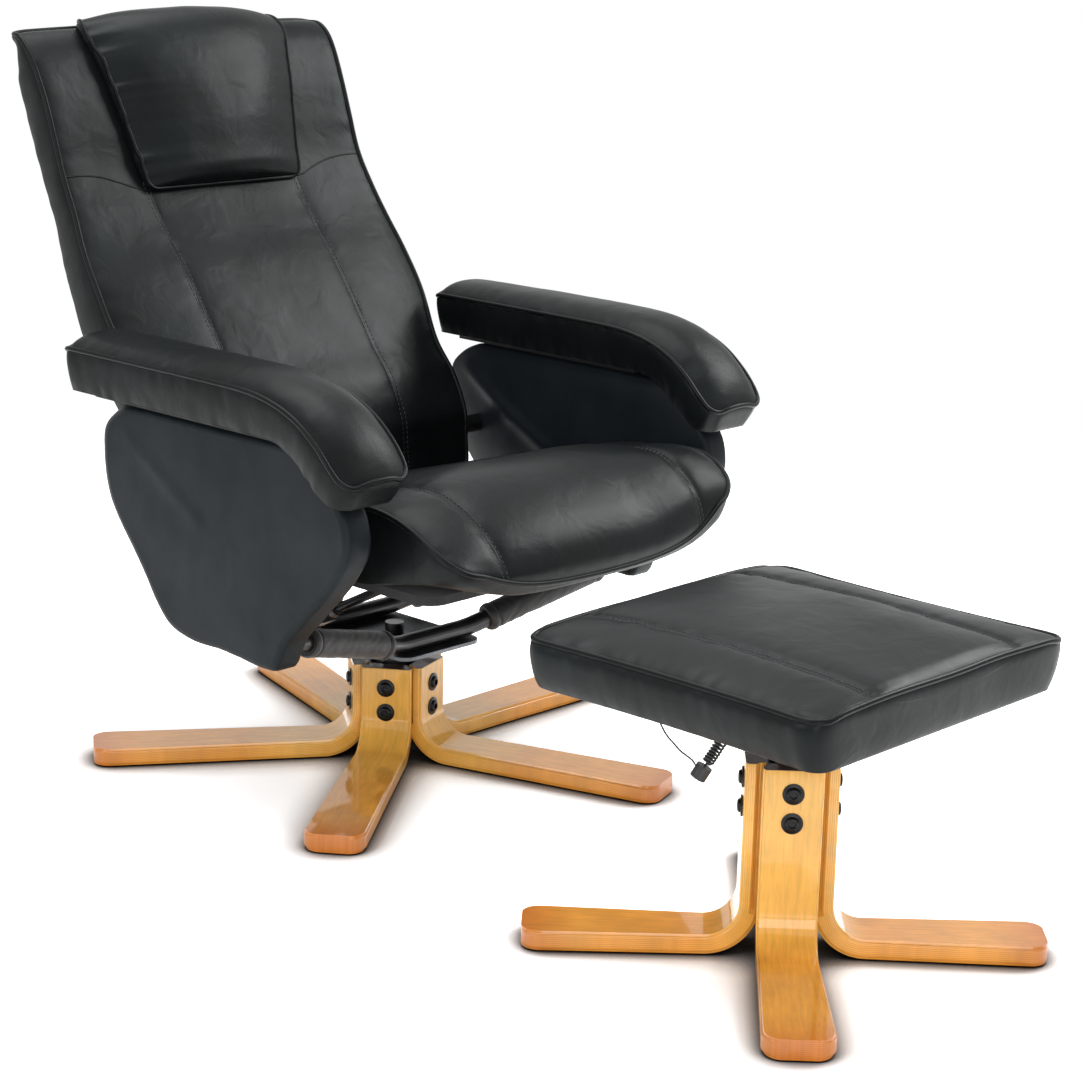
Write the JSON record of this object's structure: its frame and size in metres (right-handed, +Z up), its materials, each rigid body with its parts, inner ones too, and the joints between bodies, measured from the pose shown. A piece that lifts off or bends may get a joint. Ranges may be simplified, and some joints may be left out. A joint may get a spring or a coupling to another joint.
{
  "type": "reflexology chair",
  "caption": "Swivel recliner armchair with upholstered seat, back, headrest pillow and arms on a bentwood star base, with a matching swivelling footstool.",
  "frame": {"origin": "the chair's swivel axis, at the floor", "axes": "Z is up; the chair faces -Y at rest, so -Y is its front; +X is the sitter's left"},
  "size_m": [0.8116, 1.5447, 0.9987],
  "materials": {
    "lacquered_plywood": "gloss",
    "black_steel": "satin",
    "bright_steel": "satin",
    "upholstery": "satin",
    "sleeve_fabric": "matte",
    "inner_plywood": "matte",
    "black_plastic": "satin",
    "white_plastic": "satin",
    "cord_rubber": "satin"
  },
  "bodies": {
    "base": {"base_hub": "black_steel", "leg_1": "lacquered_plywood", "leg_2": "lacquered_plywood", "leg_3": "lacquered_plywood", "leg_4": "lacquered_plywood", "leg_5": "lacquered_plywood", "base_screws": "black_steel", "base_glides": "black_plastic", "swivel_post": "black_steel", "post_nut": "black_steel", "post_flange_screws": "bright_steel", "stool_hub": "black_steel", "stool_leg_1": "lacquered_plywood", "stool_leg_2": "lacquered_plywood", "stool_leg_3": "lacquered_plywood", "stool_leg_4": "lacquered_plywood", "stool_screws": "black_steel", "stool_glides": "black_plastic", "stool_post": "black_steel", "stool_post_nut": "bright_steel"},
    "carriage": {"swivel_plate": "bright_steel", "thrust_washer": "white_plastic", "front_cross_tube": "black_steel", "rear_cross_tube": "black_steel", "tube_sleeves": "sleeve_fabric", "side_frame_left": "black_steel", "side_frame_right": "black_steel", "side_cover_left": "upholstery", "side_cover_right": "upholstery", "arm_board_left": "inner_plywood", "arm_board_right": "inner_plywood", "arm_pad_left": "upholstery", "arm_pad_right": "upholstery", "arm_studs": "bright_steel", "guide_bracket_left": "black_steel", "guide_bracket_right": "black_steel", "pivot_pin_left": "bright_steel", "pivot_pin_right": "bright_steel"},
    "back": {"back_frame": "black_steel", "back_cushion": "upholstery", "headrest_pillow": "upholstery"},
    "seat": {"seat_pan": "inner_plywood", "seat_cushion": "upholstery", "seat_motor": "black_plastic", "guide_rod_left": "bright_steel", "guide_rod_right": "bright_steel", "rod_straps": "black_steel"},
    "stool_pad": {"stool_plate": "bright_steel", "stool_washer": "white_plastic", "stool_board": "inner_plywood", "stool_cushion": "upholstery", "stool_motor": "black_plastic", "plate_screws": "bright_steel", "cord_glands": "cord_rubber", "cord_lead": "cord_rubber", "curly_cord": "cord_rubber", "cord_plug": "cord_rubber"}
  },
  "joints": [
    {"name": "chair_swivel", "type": "hinge", "parent": "base", "child": "carriage", "pos_m": [0, 0, 0], "axis": [0, 0, 1], "continuous": true},
    {"name": "back_recline", "type": "hinge", "parent": "carriage", "child": "back", "pos_m": [0, 0.15, 0.4], "axis": [-1, 0, 0], "range_deg": [0, 25]},
    {"name": "seat_glide", "type": "slide", "parent": "carriage", "child": "seat", "axis": [0, -0.8878, 0.4602], "range_m": [0, 0.04]},
    {"name": "stool_swivel", "type": "hinge", "parent": "base", "child": "stool_pad", "pos_m": [-0.148, -0.815, 0], "axis": [0, 0, 1], "continuous": true}
  ],
  "couplings": [
    {"joint": "seat_glide", "follows": "back_recline", "m_per_rad": 0.0916}
  ]
}
